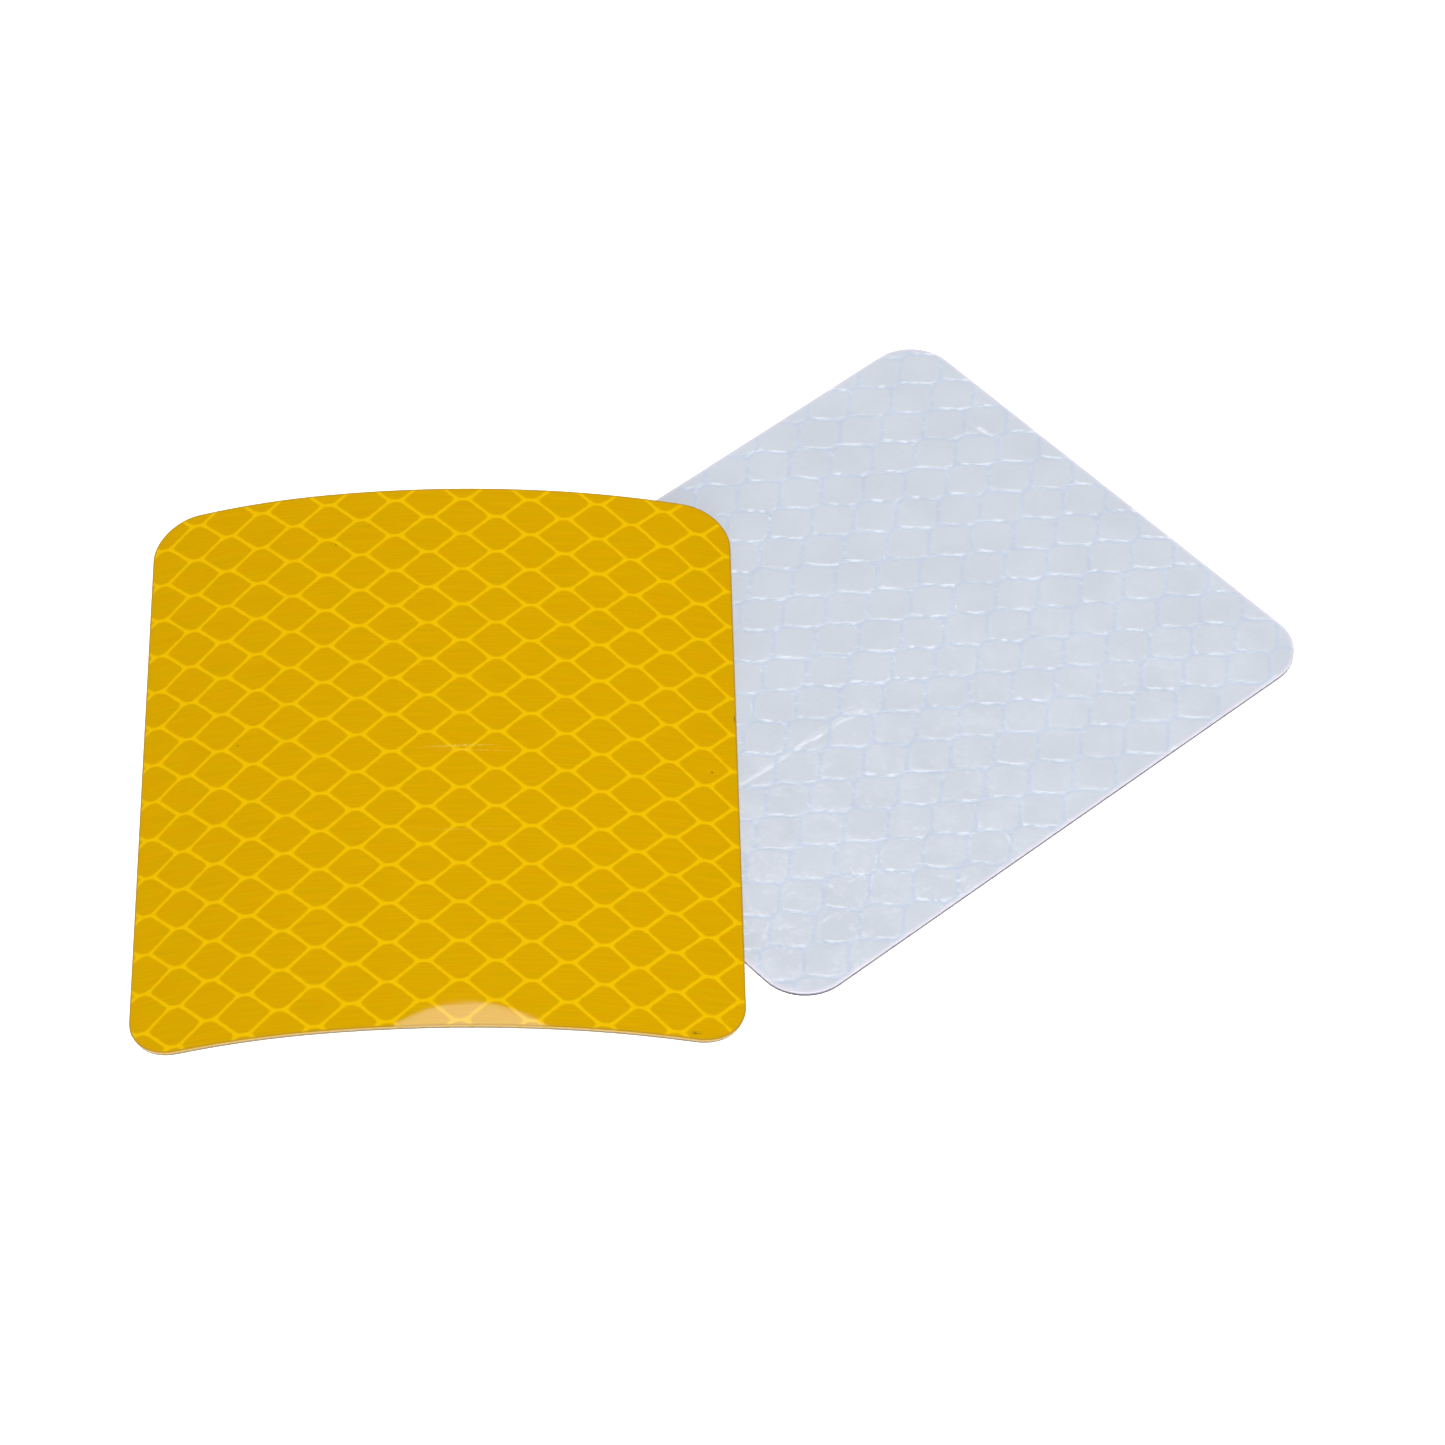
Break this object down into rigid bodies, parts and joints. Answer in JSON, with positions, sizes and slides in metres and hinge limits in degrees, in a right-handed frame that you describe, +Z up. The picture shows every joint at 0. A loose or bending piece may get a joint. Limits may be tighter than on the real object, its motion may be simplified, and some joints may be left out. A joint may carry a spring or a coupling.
{
  "type": "reflective sheeting patches",
  "caption": "Rounded rectangular patches of honeycomb-sealed prismatic reflective sheeting, a yellow one sprung into a shallow arch and leaning on a flat white one.",
  "frame": {"origin": "on the ground, at the middle of the pair's footprint", "axes": "+Z up, away from the ground; +Y away from the viewer, nearly along the arch; +X to the right, from the yellow patch to the white one"},
  "size_m": [0.1164, 0.0956, 0.0053],
  "materials": {
    "liner_paper": "smooth silicone-coated paper",
    "adhesive": "tacky clear acrylic adhesive",
    "sealing_film": "opaque white polyester film",
    "white_seal": "fused honeycomb seal",
    "white_prisms": "moulded micro prisms",
    "white_film": "clear film",
    "white_cover": "glossy clear film, slightly pillowed",
    "yellow_seal": "fused honeycomb seal",
    "yellow_prisms": "moulded micro prisms",
    "yellow_film": "transparent yellow film",
    "yellow_cover": "glossy clear film"
  },
  "bodies": {
    "white_liner": {"white_release_liner": "liner_paper"},
    "white_patch": {"white_adhesive": "adhesive", "white_sealing_film": "sealing_film", "white_seal_lattice": "white_seal", "white_prism_layer": "white_prisms", "white_body_film": "white_film", "white_cover_film": "white_cover"},
    "yellow_liner": {"yellow_release_liner": "liner_paper"},
    "yellow_patch": {"yellow_adhesive": "adhesive", "yellow_sealing_film": "sealing_film", "yellow_seal_lattice": "yellow_seal", "yellow_prism_layer": "yellow_prisms", "yellow_body_film": "yellow_film", "yellow_cover_film": "yellow_cover"}
  },
  "joints": [
    {"name": "white_peel", "type": "slide", "parent": "white_liner", "child": "white_patch", "axis": [0, 0, 1], "range_m": [0, 0.03]},
    {"name": "yellow_lift", "type": "slide", "parent": "white_patch", "child": "yellow_liner", "axis": [0, 0, 1], "range_m": [0, 0.04]},
    {"name": "yellow_peel", "type": "slide", "parent": "yellow_liner", "child": "yellow_patch", "axis": [0, 0, 1], "range_m": [0, 0.03]}
  ]
}
